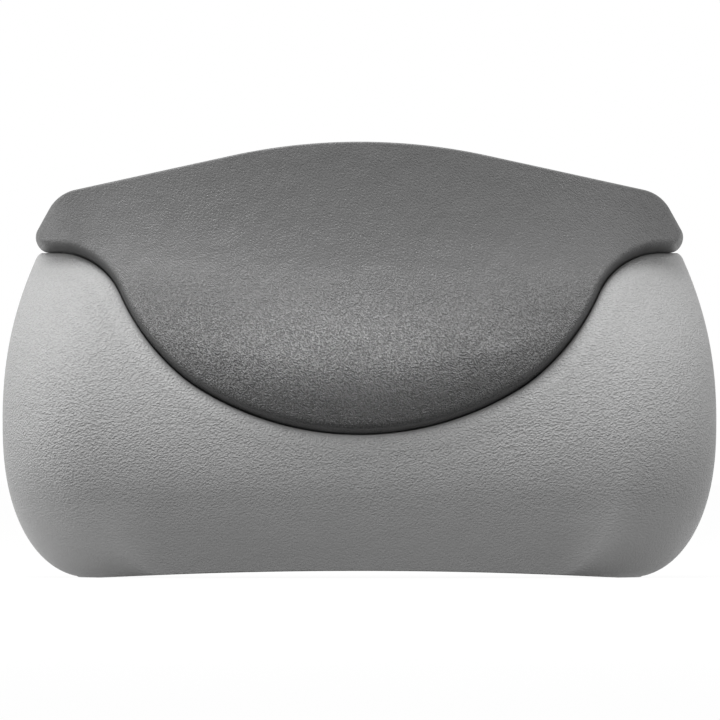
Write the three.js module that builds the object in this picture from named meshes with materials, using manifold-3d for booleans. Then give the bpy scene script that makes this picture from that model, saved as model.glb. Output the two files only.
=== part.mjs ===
// A bath pillow: a dark moulded-foam head cushion whose tongue hangs down the front of a pale foam roll.
// Both cushions are screwed from behind to one back plate, and four suction cups snap into that plate.
// The model is drawn as seen from the front, x across, y up and z towards the viewer, with z = 0 on the
// flat back of the foam. The outer group turns that to z up. All lengths are millimetres.
import * as THREE from 'three';
import { mergeVertices } from 'three/addons/utils/BufferGeometryUtils.js';
import Module from 'manifold-3d';

const degree = Math.PI / 180;

// Clearances that the fits share.
const fit_gap = 0.3;
const overrun = 1.5;

// Front outline of the head cushion, measured from the middle line and from the foot.
const head_top = 164;
const top_arc_radius = 227;
const top_slope = 12.2 * degree;
const head_corner_radius = 15;
const side_slant = 29.5 * degree;
const tip_half_width = 122.3;
const tip_radius = 5.5;
// The lower edge is the seam: four arcs from the lowest point of the tongue out to the level shoulder.
const seam_low = 54;
const seam_bottom_radius = 114;
const seam_knee_radius = 58;
const seam_flank_radius = 87;
const seam_shoulder_radius = 26;
const seam_knee_start = 32 * degree;
const seam_knee_end = 41 * degree;
const seam_flank_end = 66 * degree;

// Border of the head cushion: a deep rounding that follows the seam and ends below the face of the base,
// and a small rounding at the sides and the top. The shares are how far upwards the outline faces where
// the deep rounding is full, and where none of it is left. The back edge is softened.
const border_width = 4.8;
const border_sink = 1.5;
const edge_radius = 1.6;
const border_full_share = -0.4;
const border_none_share = 0.5;
const back_edge = 2.5;

// The pale base: a horizontal roll with a flat back, a sharp foot edge and rounded ends.
const base_depth = 80;
const roll_radius = 75;
const roll_height = 59;
const upper_slope = 27 * degree;
const lower_slope = 22 * degree;
const roll_half_width = 134.6;
const foot_half_width = 103;
const shoulder_half_width = 121.3;
const end_radius = 34;
const corner_limit_share = 0.9;
const base_back_radius = 6;
const foot_curve_power = 2.4;
const shoulder_curve_power = 2.2;
const arch_half_span = 96;
const arch_rise = 2.6;

// The face of the head cushion: a shallow cradle above, and a neck lip across the tongue. The whole
// face is bowed from side to side.
const cradle_setback = 4;
const cradle_height = 124;
const cradle_radius = 207;
const lip_rise = 17;
const lip_fall = 12;
const lip_height = 79;
const lip_spread = 22;
const lip_power_above = 1.4;
const lip_power_below = 2.4;
const lip_reach = 105;
const lip_reach_power = 4;
const lip_climb = 8;
const lip_climb_reach = 62;
const bow_radius = 310;
const head_end_radius = 20;

// How deep the tongue is let into the base.
const tongue_thickness = 24;

// Back plate, flush with the foam.
const plate_thickness = 3;
const plate_bottom = 14;
const plate_top_margin = 15;
const plate_low_margin = 26.6;
const plate_high_margin = 30.3;
const plate_corner_radius = 16;
const drain_slot_width = 3;
const drain_slot_length = 24;
const drain_slot_height = 20;
const drain_slot_offset = 30;

// Carriers moulded into the back of each cushion. Their bosses hold the threaded inserts.
const carrier_thickness = 3;
const carrier_corner_radius = 6;
const base_carrier_margin = 12;
const base_carrier_bottom = 24;
const base_carrier_top = 110;
const head_carrier_margin = 6;
const head_carrier_below = 9;
const head_carrier_above = 10;
const boss_radius = 5.2;
const boss_length = 9;
const key_hole_radius = 4;
const key_hole_pitch = 26;
const key_hole_height = 66;
const key_hole_count = 5;

// Fasteners.
const thread_radius = 2;
const screw_length = 12;
const screw_head_radius = 4;
const screw_head_height = 2.2;
const screw_sink = 0.2;
const hex_radius = 1.45;
const hex_depth = 1.3;
const insert_wall = 0.9;
const insert_length = 7;
const insert_flange = 0.5;

// Suction cups.
const cup_radius = 19;
const cup_stand = 10;
const cup_lip_width = 1.5;
const cup_lip_thickness = 0.9;
const cup_wall = 2.4;
const cup_flange_radius = 9;
const neck_radius = 4.2;
const knob_radius = 6.5;
const knob_height = 2.8;
const knob_chamfer = 1.2;
const bell_steps = 5;
const bell_hollow_power = 1.3;
const tab_length = 6;
const tab_width = 9;
const tab_thickness = 1.6;

// Where cups and screws sit on the back, as distances from the middle line and heights.
const upper_cup_offset = 50;
const upper_cup_height = 134;
const lower_cup_margin = 26;
const lower_cup_height = 44;
const base_screw_offset = 46;
const base_screw_low = 34;
const base_screw_high = 98;
const head_screw_near = 22;
const head_screw_far = 78;

// How finely curves are drawn.
const bottom_steps = [7, 2, 3, 5, 1];
const top_steps = [5, 8, 5];
const side_steps = [7, 5];
const end_steps = 7;
const back_corner_steps = 2;
const border_steps = 4;
const front_steps = 6;
const level_steps = 6;
const arch_steps = 12;
const round_steps = 24;
const small_round_steps = 12;
const shape_steps = 6;
const slot_steps = 3;
const hex_sides = 6;

const materials = {
  head_foam: new THREE.MeshStandardMaterial({ color: 0x5f5f5f, roughness: 0.62, metalness: 0 }),
  base_foam: new THREE.MeshStandardMaterial({ color: 0x9a9a9a, roughness: 0.66, metalness: 0 }),
  carrier_plastic: new THREE.MeshStandardMaterial({ color: 0x3a3d40, roughness: 0.55, metalness: 0 }),
  plate_plastic: new THREE.MeshStandardMaterial({ color: 0xb9bbbb, roughness: 0.5, metalness: 0 }),
  cup_vinyl: new THREE.MeshStandardMaterial({ color: 0xd9dcdb, roughness: 0.25, metalness: 0 }),
  steel: new THREE.MeshStandardMaterial({ color: 0xb8b8b6, roughness: 0.35, metalness: 1 }),
  brass: new THREE.MeshStandardMaterial({ color: 0xb99a55, roughness: 0.4, metalness: 1 }),
};

// Joining and cutting of closed shapes.
const wasm = await Module();
wasm.setup();

function solidOf(geometry) {
  const bare = geometry.clone();
  bare.deleteAttribute('normal');
  bare.deleteAttribute('uv');
  const merged = mergeVertices(bare);
  return new wasm.Manifold(new wasm.Mesh({
    numProp: 3,
    vertProperties: new Float32Array(merged.getAttribute('position').array),
    triVerts: new Uint32Array(merged.getIndex().array),
  }));
}

function geometryOf(solid) {
  const mesh = solid.getMesh();
  const geometry = new THREE.BufferGeometry();
  geometry.setAttribute('position', new THREE.BufferAttribute(new Float32Array(mesh.vertProperties), 3));
  geometry.setIndex(new THREE.BufferAttribute(new Uint32Array(mesh.triVerts), 1));
  geometry.computeVertexNormals();
  return geometry;
}

function indexedGeometry(points, triangles) {
  const geometry = new THREE.BufferGeometry();
  geometry.setAttribute('position', new THREE.Float32BufferAttribute(points.flat(), 3));
  geometry.setIndex(triangles);
  geometry.computeVertexNormals();
  return geometry;
}

// A flat shape drawn in the front view and given a thickness from one depth to another.
function slab(shape, from_depth, to_depth, curve_steps = shape_steps) {
  const settings = { depth: to_depth - from_depth, bevelEnabled: false, curveSegments: curve_steps };
  return new THREE.ExtrudeGeometry(shape, settings).translate(0, 0, from_depth);
}

// A turned piece on an axis that runs front to back. Each profile point is a radius and a depth,
// listed from the front end on the axis to the rear end on the axis.
function turned(profile, x, y, steps) {
  const points = profile.map(([radius, depth]) => new THREE.Vector2(radius, depth));
  return new THREE.LatheGeometry(points.reverse(), steps).rotateX(Math.PI / 2).translate(x, y, 0);
}

function rod(x, y, radius, from_depth, to_depth, steps) {
  return turned([[0, to_depth], [radius, to_depth], [radius, from_depth], [0, from_depth]], x, y, steps);
}

// One arc of the outline: points on a circle with the outward direction at each, as steps of one angle.
function outlineArc(centre, radius, from_angle, to_angle, steps, outward = 1) {
  const list = [];
  for (let i = 0; i <= steps; i += 1) {
    const angle = from_angle + (to_angle - from_angle) * i / steps;
    const normal = [Math.cos(angle), Math.sin(angle)];
    list.push({
      x: centre[0] + outward * radius * normal[0],
      y: centre[1] + outward * radius * normal[1],
      normal,
    });
  }
  return list;
}

function outlineLine(from, to, steps) {
  const list = [];
  for (let i = 0; i <= steps; i += 1) {
    const share = i / steps;
    list.push({
      x: from.x + (to.x - from.x) * share,
      y: from.y + (to.y - from.y) * share,
      normal: from.normal,
    });
  }
  return list;
}

// Pieces of outline in a row, each starting where the one before ends.
function joined(pieces) {
  return pieces.flatMap((piece, i) => (i ? piece.slice(1) : piece));
}

// The right half of the seam, from the middle of the tongue to the shoulder.
function seamHalf() {
  const down = -Math.PI / 2;
  const pieces = [];
  let end = { x: 0, y: seam_low };
  const turns = [
    [seam_bottom_radius, 0, seam_knee_start],
    [seam_knee_radius, seam_knee_start, seam_knee_end],
    [seam_flank_radius, seam_knee_end, seam_flank_end],
  ];
  turns.forEach(([radius, start, stop], i) => {
    const centre = [end.x - radius * Math.sin(start), end.y + radius * Math.cos(start)];
    pieces.push(outlineArc(centre, radius, down + start, down + stop, bottom_steps[i]));
    end = pieces[i].at(-1);
  });
  const turn_centre = [
    end.x + seam_shoulder_radius * Math.sin(seam_flank_end),
    end.y - seam_shoulder_radius * Math.cos(seam_flank_end),
  ];
  pieces.push(outlineArc(turn_centre, seam_shoulder_radius, down + seam_flank_end, down,
    bottom_steps[3], -1));
  end = pieces[3].at(-1);
  const tip_foot = { x: tip_half_width - tip_radius, y: end.y, normal: end.normal };
  pieces.push(outlineLine(end, tip_foot, bottom_steps[4]));
  return joined(pieces);
}

const seam_right = seamHalf();
const shoulder_height = seam_right.at(-1).y;

// The right tip, from the shoulder up to the corner, and the right half of the top, inwards.
function tipAndTop() {
  const tip_centre = [tip_half_width - tip_radius, shoulder_height + tip_radius];
  const tip = outlineArc(tip_centre, tip_radius, -Math.PI / 2, side_slant, side_steps[0]);
  const arc_end = [top_arc_radius * Math.sin(top_slope),
    head_top - top_arc_radius * (1 - Math.cos(top_slope))];
  // The corner circle touches the slanted side and the sloping top.
  const side_normal = [Math.cos(side_slant), Math.sin(side_slant)];
  const top_normal = [Math.sin(top_slope), Math.cos(top_slope)];
  const side_reach = side_normal[0] * tip.at(-1).x + side_normal[1] * tip.at(-1).y - head_corner_radius;
  const top_reach = top_normal[0] * arc_end[0] + top_normal[1] * arc_end[1] - head_corner_radius;
  const spread = side_normal[0] * top_normal[1] - side_normal[1] * top_normal[0];
  const corner_centre = [
    (side_reach * top_normal[1] - top_reach * side_normal[1]) / spread,
    (top_reach * side_normal[0] - side_reach * top_normal[0]) / spread,
  ];
  const top_angle = Math.PI / 2 - top_slope;
  const corner = outlineArc(corner_centre, head_corner_radius, side_slant, top_angle, top_steps[2]);
  const crown_centre = [0, head_top - top_arc_radius];
  const crown = outlineArc(crown_centre, top_arc_radius, top_angle, Math.PI / 2, top_steps[0]);
  const side = joined([tip, outlineLine(tip.at(-1), corner[0], side_steps[1])]);
  const top = joined([corner, outlineLine(corner.at(-1), crown[0], top_steps[1]), crown]);
  return { side, top };
}

const { side: side_right, top: top_right } = tipAndTop();

function mirrored(list) {
  return list.map(({ x, y, normal }) => ({ x: -x, y, normal: [-normal[0], normal[1]] })).reverse();
}

// The four edges of the head outline: the seam and the top run left to right, the sides run upwards.
const seam_edge = joined([mirrored(seam_right), seam_right]);
const top_edge = joined([mirrored(top_right.slice().reverse()), top_right.slice().reverse()]);
const left_edge = mirrored(side_right).reverse();
const columns = seam_edge.length - 1;
const rows = side_right.length - 1;

// The closed outline, anticlockwise from the left shoulder.
const outline = joined([seam_edge, side_right, top_edge.slice().reverse(), left_edge.slice().reverse()]);
outline.pop();

function inset(point, distance) {
  return [point.x - point.normal[0] * distance, point.y - point.normal[1] * distance];
}

// How far forward the roll of the base reaches at a height: a rounded nose with a straight flank above
// and below.
function rollDepth(y) {
  const slope = y > roll_height ? upper_slope : lower_slope;
  const rise = Math.abs(y - roll_height);
  const on_arc = Math.min(rise, roll_radius * Math.sin(slope));
  const arc_depth = base_depth - roll_radius + Math.sqrt(roll_radius ** 2 - on_arc ** 2);
  return arc_depth - (rise - on_arc) * Math.tan(slope);
}

// How far a rounded end falls back from the front at a distance from the middle line.
function endDrop(x, half_width, radius) {
  const past = Math.max(Math.abs(x) - (half_width - radius), 0);
  return radius - Math.sqrt(Math.max(radius ** 2 - past ** 2, 0));
}

// Depth of the base's skin at a place in the front view.
function baseFace(x, y) {
  return rollDepth(y) - endDrop(x, baseHalfWidth(y), end_radius);
}

// Depth of the head cushion's face, before its border falls away.
function faceDepth(x, y) {
  const climb = Math.max(y - cradle_height, 0) ** 2 / (2 * cradle_radius);
  const cradle = base_depth - cradle_setback + climb;
  const lip_middle = lip_height + lip_climb * (x / lip_climb_reach) ** 2;
  const from_lip = Math.abs(y - lip_middle) / lip_spread;
  const above = lip_rise * Math.exp(-(from_lip ** lip_power_above));
  const below = lip_rise - lip_fall * (1 - Math.exp(-(from_lip ** lip_power_below)));
  const lip = (y > lip_middle ? above : below) * Math.exp(-((x / lip_reach) ** lip_reach_power));
  const bow = x ** 2 / (2 * bow_radius);
  return cradle + lip - bow - endDrop(x, tip_half_width + edge_radius, head_end_radius);
}

// How much of the deep border a place on the outline has: all where the outline faces down, none where
// it faces up.
function borderShare(point) {
  const part = (border_none_share - point.normal[1]) / (border_none_share - border_full_share);
  return Math.min(Math.max(part, 0), 1);
}

function borderWidth(point) {
  return edge_radius + (border_width - edge_radius) * borderShare(point);
}

function borderDrop(point) {
  const sunk = faceDepth(point.x, point.y) - baseFace(point.x, point.y) + border_sink;
  return edge_radius + (sunk - edge_radius) * borderShare(point);
}

// The head cushion before anything is cut from it: rings from the back edge round the border,
// then a grid that fills the face between the four edges.
function headBody() {
  const points = [];
  const triangles = [];
  const count = outline.length;
  const rings = [];
  const addRing = (offset, depthAt) => {
    const start = points.length;
    outline.forEach((point) => {
      const [x, y] = inset(point, offset(point));
      points.push([x, y, depthAt(x, y, point)]);
    });
    rings.push(start);
  };
  addRing(() => back_edge, () => 0);
  addRing(() => 0, () => back_edge);
  for (let i = 0; i <= border_steps; i += 1) {
    const turn = Math.PI / 2 * i / border_steps;
    addRing(
      (point) => borderWidth(point) * (1 - Math.cos(turn)),
      (x, y, point) => faceDepth(x, y) - borderDrop(point) * (1 - Math.sin(turn)),
    );
  }
  for (let ring = 0; ring + 1 < rings.length; ring += 1) {
    for (let i = 0; i < count; i += 1) {
      const a = rings[ring] + i;
      const b = rings[ring] + (i + 1) % count;
      const c = rings[ring + 1] + (i + 1) % count;
      const d = rings[ring + 1] + i;
      triangles.push(a, b, c, a, c, d);
    }
  }
  const back = outline.map((point) => new THREE.Vector2(...inset(point, back_edge)));
  THREE.ShapeUtils.triangulateShape(back, []).forEach(([a, b, c]) => triangles.push(a, c, b));
  // The face: its outer row of points is the innermost ring.
  const rim = rings.at(-1);
  const ringIndex = (column, row) => {
    if (row === 0) return column;
    if (column === columns) return columns + row;
    if (row === rows) return columns + rows + (columns - column);
    return (count - row) % count;
  };
  const at = (edge, i) => inset(edge[i], borderWidth(edge[i]));
  const grid = [];
  for (let column = 0; column <= columns; column += 1) {
    grid.push([]);
    for (let row = 0; row <= rows; row += 1) {
      const on_rim = column === 0 || column === columns || row === 0 || row === rows;
      if (on_rim) {
        grid[column].push(rim + ringIndex(column, row));
        continue;
      }
      const u = column / columns;
      const v = row / rows;
      const place = [0, 1].map((k) => (
        (1 - v) * at(seam_edge, column)[k] + v * at(top_edge, column)[k]
        + (1 - u) * at(left_edge, row)[k] + u * at(side_right, row)[k]
        - (1 - u) * (1 - v) * at(seam_edge, 0)[k] - u * (1 - v) * at(seam_edge, columns)[k]
        - (1 - u) * v * at(top_edge, 0)[k] - u * v * at(top_edge, columns)[k]));
      grid[column].push(points.length);
      points.push([place[0], place[1], faceDepth(place[0], place[1])]);
    }
  }
  for (let column = 0; column < columns; column += 1) {
    for (let row = 0; row < rows; row += 1) {
      const a = grid[column][row];
      const b = grid[column + 1][row];
      const c = grid[column + 1][row + 1];
      const d = grid[column][row + 1];
      triangles.push(a, b, c, a, c, d);
    }
  }
  return indexedGeometry(points, triangles);
}

// Half width of the base at a height.
function baseHalfWidth(y) {
  if (y < roll_height) {
    const fall_share = (roll_height - y) / roll_height;
    return foot_half_width + (roll_half_width - foot_half_width)
      * Math.sqrt(1 - fall_share ** foot_curve_power);
  }
  const climb_share = (y - roll_height) / (shoulder_height - roll_height);
  return roll_half_width - (roll_half_width - shoulder_half_width) * climb_share ** shoulder_curve_power;
}

// One level outline of the base, anticlockwise seen from above: front corners, then back corners. The
// front corners are tighter where the foam is too thin for them.
function baseLoop(half_width, depth, wanted_radius) {
  const front_radius = Math.min(wanted_radius, (depth - base_back_radius) * corner_limit_share);
  const loop = [];
  const corner = (x, z, radius, from_angle, steps) => {
    for (let i = 0; i <= steps; i += 1) {
      const angle = from_angle + Math.PI / 2 * i / steps;
      loop.push([x + radius * Math.cos(angle), z + radius * Math.sin(angle)]);
    }
  };
  const front_x = half_width - front_radius;
  const back_x = half_width - base_back_radius;
  corner(back_x, base_back_radius, base_back_radius, -Math.PI / 2, back_corner_steps);
  corner(front_x, depth - front_radius, front_radius, 0, end_steps);
  for (let i = 1; i < front_steps; i += 1) loop.push([front_x * (1 - 2 * i / front_steps), depth]);
  corner(-front_x, depth - front_radius, front_radius, Math.PI / 2, end_steps);
  corner(-back_x, base_back_radius, base_back_radius, Math.PI, back_corner_steps);
  return loop;
}

// The roll of the base as level outlines joined upwards. A core for cutting is the same shape,
// set back from the front and wider, with tighter ends.
function rollBody(set_back, widen, top, front_radius) {
  const levels = [];
  for (let i = 0; i <= level_steps; i += 1) {
    levels.push(roll_height * (1 - Math.cos(Math.PI / 2 * i / level_steps)));
  }
  for (let i = 1; i <= level_steps; i += 1) {
    levels.push(roll_height + (top - roll_height) * Math.sin(Math.PI / 2 * i / level_steps));
  }
  const points = [];
  const triangles = [];
  let count = 0;
  levels.forEach((y) => {
    const loop = baseLoop(baseHalfWidth(y) + widen, rollDepth(y) - set_back, front_radius);
    count = loop.length;
    loop.forEach(([x, z]) => points.push([x, y, z]));
  });
  for (let level = 0; level + 1 < levels.length; level += 1) {
    for (let i = 0; i < count; i += 1) {
      const a = level * count + i;
      const b = level * count + (i + 1) % count;
      triangles.push(a, a + count, b + count, a, b + count, b);
    }
  }
  const last = (levels.length - 1) * count;
  const ends = [[0, false], [last, true]];
  ends.forEach(([start, up]) => {
    const flat = points.slice(start, start + count).map(([x, , z]) => new THREE.Vector2(x, z));
    THREE.ShapeUtils.triangulateShape(flat, []).forEach(([a, b, c]) => {
      if (up) triangles.push(start + a, start + c, start + b);
      else triangles.push(start + a, start + b, start + c);
    });
  });
  return indexedGeometry(points, triangles);
}

function roundedShape(corners, radius) {
  const shape = new THREE.Shape();
  corners.forEach((corner, i) => {
    const before = corners[(i + corners.length - 1) % corners.length];
    const after = corners[(i + 1) % corners.length];
    const start = towards(corner, before, radius);
    const end = towards(corner, after, radius);
    if (i === 0) shape.moveTo(...start);
    else shape.lineTo(...start);
    shape.quadraticCurveTo(...corner, ...end);
  });
  shape.closePath();
  return shape;
}

function towards(from, to, distance) {
  const share = distance / Math.hypot(to[0] - from[0], to[1] - from[1]);
  return [from[0] + (to[0] - from[0]) * share, from[1] + (to[1] - from[1]) * share];
}

function roundedBox(half_width, bottom, top, radius) {
  const corners = [[-half_width, bottom], [half_width, bottom], [half_width, top], [-half_width, top]];
  return roundedShape(corners, radius);
}

// The plate follows the cushions, and the carriers and lower cups follow the plate. The head carrier and
// its screws lie level with the upper cups.
const plate_top = head_top - plate_top_margin;
const plate_low_half_width = roll_half_width - plate_low_margin;
const plate_high_half_width = tip_half_width - plate_high_margin;
const base_carrier_half_width = plate_low_half_width - base_carrier_margin;
const head_carrier_half_width = plate_high_half_width - head_carrier_margin;
const head_carrier_bottom = upper_cup_height - head_carrier_below;
const head_carrier_top = upper_cup_height + head_carrier_above;
const head_screw_height = upper_cup_height;
const lower_cup_offset = plate_low_half_width - lower_cup_margin;

// The plate's outline, or the recess round it when grown by a clearance.
function plateShape(grow) {
  const low = plate_low_half_width + grow;
  const high = plate_high_half_width + grow;
  const bottom = plate_bottom - grow;
  const top = plate_top + grow;
  return roundedShape([[-low, bottom], [low, bottom], [high, top], [-high, top]], plate_corner_radius);
}

// Places of the cups and screws, left and right of the middle line.
const sides = [['left', -1], ['right', 1]];
const cup_places = sides.flatMap(([side, sign]) => [
  { name: `suction_cup_upper_${side}`, x: sign * upper_cup_offset, y: upper_cup_height },
  { name: `suction_cup_lower_${side}`, x: sign * lower_cup_offset, y: lower_cup_height },
]);
const base_screw_places = sides.flatMap(([, sign]) => [
  [sign * base_screw_offset, base_screw_low],
  [sign * base_screw_offset, base_screw_high],
]);
const head_screw_places = sides.flatMap(([, sign]) => [
  [sign * head_screw_near, head_screw_height],
  [sign * head_screw_far, head_screw_height],
]);
const screw_places = [...base_screw_places, ...head_screw_places];

// Depths behind the face of the plate, worked out once for the carriers and the pockets in the foam.
const carrier_front = plate_thickness + fit_gap;
const carrier_rear = carrier_front + carrier_thickness;
const boss_end = carrier_front + boss_length + carrier_thickness;
const insert_radius = thread_radius + fit_gap + insert_wall;

// A carrier is a flat plate with blind bosses for the inserts and clear holes for the cups' knobs.
function carrier(half_width, bottom, top, places, key_holes) {
  let solid = solidOf(slab(roundedBox(half_width, bottom, top, carrier_corner_radius),
    carrier_front, carrier_rear));
  places.forEach(([x, y]) => {
    const boss = rod(x, y, boss_radius, carrier_front + fit_gap, boss_end, small_round_steps);
    solid = solid.add(solidOf(boss));
  });
  places.forEach(([x, y]) => {
    const bore_end = carrier_front + insert_flange + insert_length + overrun;
    const bore = rod(x, y, insert_radius + fit_gap, carrier_front - overrun, bore_end, small_round_steps);
    solid = solid.subtract(solidOf(bore));
  });
  const cut_through = (x, y, radius) => {
    const hole = rod(x, y, radius, carrier_front - overrun, carrier_rear + overrun, small_round_steps);
    solid = solid.subtract(solidOf(hole));
  };
  cup_places.filter(({ y }) => y > bottom && y < top).forEach(({ x, y }) => {
    cut_through(x, y, knob_radius + overrun);
  });
  for (let i = 0; i < key_holes; i += 1) {
    cut_through((i - (key_holes - 1) / 2) * key_hole_pitch, key_hole_height, key_hole_radius);
  }
  return solid;
}

// The room that a carrier needs in the foam.
function carrierPocket(half_width, bottom, top, places) {
  const shape = roundedBox(half_width + fit_gap, bottom - fit_gap, top + fit_gap, carrier_corner_radius);
  let pocket = solidOf(slab(shape, -overrun, carrier_rear + fit_gap));
  places.forEach(([x, y]) => {
    const room = rod(x, y, boss_radius + fit_gap, 0, boss_end + fit_gap, small_round_steps);
    pocket = pocket.add(solidOf(room));
  });
  return pocket;
}

const plate_recess = solidOf(slab(plateShape(fit_gap), -overrun, plate_thickness + fit_gap));

// What stays of the base behind the tongue.
function coreBody(clearance, top) {
  return solidOf(rollBody(tongue_thickness + clearance, tip_radius, top, end_radius / 2));
}

function headCushion() {
  const core = coreBody(0, shoulder_height + fit_gap);
  return solidOf(headBody())
    .subtract(core)
    .subtract(plate_recess)
    .subtract(carrierPocket(head_carrier_half_width, head_carrier_bottom, head_carrier_top,
      head_screw_places));
}

function baseCushion() {
  const pocket_outline = new THREE.Shape(outline.map((point) => (
    new THREE.Vector2(...inset(point, -fit_gap)))));
  const core = coreBody(fit_gap, shoulder_height + overrun);
  const tongue_pocket = solidOf(slab(pocket_outline, -overrun, base_depth + overrun)).subtract(core);
  const arch = new THREE.Shape();
  const arch_radius = (arch_half_span ** 2 + arch_rise ** 2) / (2 * arch_rise);
  const arch_angle = Math.asin(arch_half_span / arch_radius);
  arch.absarc(0, arch_rise - arch_radius, arch_radius, Math.PI / 2 - arch_angle, Math.PI / 2 + arch_angle);
  arch.lineTo(-arch_half_span, -arch_rise);
  arch.lineTo(arch_half_span, -arch_rise);
  return solidOf(rollBody(0, 0, shoulder_height, end_radius))
    .subtract(tongue_pocket)
    .subtract(plate_recess)
    .subtract(carrierPocket(base_carrier_half_width, base_carrier_bottom, base_carrier_top,
      base_screw_places))
    .subtract(solidOf(slab(arch, -overrun, base_depth + overrun, arch_steps)));
}

function backPlate() {
  let solid = solidOf(slab(plateShape(0), 0, plate_thickness));
  cup_places.forEach(({ x, y }) => {
    const socket = rod(x, y, neck_radius + fit_gap, -overrun, plate_thickness + overrun, small_round_steps);
    solid = solid.subtract(solidOf(socket));
  });
  // Each screw hole is countersunk from the rear face, which is at depth zero.
  screw_places.forEach(([x, y]) => {
    const wide = screw_head_radius + fit_gap;
    const narrow = thread_radius + fit_gap;
    const sunk = screw_sink + screw_head_height;
    const hole = turned([
      [0, plate_thickness + overrun],
      [narrow, plate_thickness + overrun],
      [narrow, sunk],
      [wide, screw_sink],
      [wide, -overrun],
      [0, -overrun],
    ], x, y, small_round_steps);
    solid = solid.subtract(solidOf(hole));
  });
  sides.forEach(([, sign]) => {
    const left = sign * drain_slot_offset - drain_slot_length / 2;
    const right = sign * drain_slot_offset + drain_slot_length / 2;
    const low = drain_slot_height - drain_slot_width / 2;
    const high = drain_slot_height + drain_slot_width / 2;
    const slot = roundedShape([[left, low], [right, low], [right, high], [left, high]],
      drain_slot_width / 2);
    solid = solid.subtract(solidOf(slab(slot, -overrun, plate_thickness + overrun, slot_steps)));
  });
  return solid;
}

// A countersunk screw with a hexagon socket, head towards the wall.
function screw(x, y) {
  const head_inner = screw_sink + screw_head_height;
  const body = turned([
    [0, screw_length],
    [thread_radius - fit_gap, screw_length],
    [thread_radius, screw_length - fit_gap],
    [thread_radius, head_inner],
    [screw_head_radius, screw_sink + fit_gap],
    [screw_head_radius, screw_sink],
    [0, screw_sink],
  ], x, y, small_round_steps);
  const hex = rod(x, y, hex_radius, screw_sink - overrun, screw_sink + hex_depth, hex_sides);
  return solidOf(body).subtract(solidOf(hex));
}

function threadedInsert(x, y) {
  const front = carrier_front + insert_flange + insert_length;
  const body = rod(x, y, insert_radius, carrier_front + insert_flange, front, small_round_steps);
  const bore = rod(x, y, thread_radius + fit_gap, carrier_front - overrun, front + overrun,
    small_round_steps);
  return solidOf(body).subtract(solidOf(bore));
}

// A suction cup: a knob and neck through the plate, a flange against it and a thin bell behind.
function suctionCup({ x, y }) {
  const knob_rear = plate_thickness + fit_gap;
  const bell_height = cup_stand - fit_gap;
  const lip_inner = cup_radius - cup_lip_width;
  const outer_bell = [];
  const inner_bell = [];
  const rise = bell_height - cup_wall / 2 - cup_lip_thickness;
  const hollow = bell_height - cup_wall;
  for (let i = 1; i <= bell_steps; i += 1) {
    const angle = Math.PI / 2 * i / bell_steps;
    const out = Math.sin(angle);
    const back = 1 - Math.cos(angle);
    outer_bell.push([
      cup_flange_radius + (cup_radius - cup_flange_radius) * out,
      -fit_gap - cup_wall / 2 - rise * back,
    ]);
    inner_bell.unshift([lip_inner * out, -fit_gap - cup_wall - hollow * back ** bell_hollow_power]);
  }
  const profile = [
    [0, knob_rear + knob_height],
    [knob_radius - knob_chamfer, knob_rear + knob_height],
    [knob_radius, knob_rear + knob_height - knob_chamfer],
    [knob_radius, knob_rear],
    [neck_radius, knob_rear],
    [neck_radius, -fit_gap],
    [cup_flange_radius, -fit_gap],
    [cup_flange_radius, -fit_gap - cup_wall / 2],
    ...outer_bell,
    [cup_radius, -cup_stand],
    ...inner_bell,
    [0, -fit_gap - cup_wall],
  ];
  const bell = solidOf(turned(profile, x, y, round_steps));
  // The release tab grows from the outer edge of the lip and points down.
  const tab_top = y - cup_radius + cup_lip_width;
  const tab_shape = roundedShape([
    [x - tab_width / 2, tab_top],
    [x - tab_width / 2, y - cup_radius - tab_length],
    [x + tab_width / 2, y - cup_radius - tab_length],
    [x + tab_width / 2, tab_top],
  ], cup_lip_width / 2);
  const tab = solidOf(slab(tab_shape, -cup_stand + fit_gap, -cup_stand + fit_gap + tab_thickness,
    slot_steps));
  return bell.add(tab.subtract(solidOf(rod(x, y, lip_inner, -cup_stand - overrun, 0, round_steps))));
}

// The whole pillow, turned to z up and centred front to back, suction cups included.
function frontReach() {
  const tries = 200;
  let reach = 0;
  for (let i = 0; i <= tries; i += 1) {
    reach = Math.max(reach, faceDepth(0, head_top * i / tries));
  }
  return reach;
}

const pillow = new THREE.Group();
pillow.rotation.x = Math.PI / 2;
pillow.position.y = (frontReach() - cup_stand) / 2;

function place(name, solid, material) {
  const mesh = new THREE.Mesh(geometryOf(solid), material);
  mesh.name = name;
  pillow.add(mesh);
}

place('head_cushion', headCushion(), materials.head_foam);
place('base_cushion', baseCushion(), materials.base_foam);
place('head_carrier', carrier(head_carrier_half_width, head_carrier_bottom, head_carrier_top,
  head_screw_places, 0), materials.carrier_plastic);
place('base_carrier', carrier(base_carrier_half_width, base_carrier_bottom, base_carrier_top,
  base_screw_places, key_hole_count), materials.carrier_plastic);
place('back_plate', backPlate(), materials.plate_plastic);
screw_places.forEach(([x, y], i) => {
  place(`plate_screw_${i + 1}`, screw(x, y), materials.steel);
  place(`threaded_insert_${i + 1}`, threadedInsert(x, y), materials.brass);
});
cup_places.forEach((cup) => place(cup.name, suctionCup(cup), materials.cup_vinyl));

const part = new THREE.Group();
part.add(pillow);

export default part;
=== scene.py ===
import math

import bmesh
import bpy
import numpy as np
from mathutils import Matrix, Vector
from mathutils.geometry import tessellate_polygon
from mathutils.kdtree import KDTree


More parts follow.
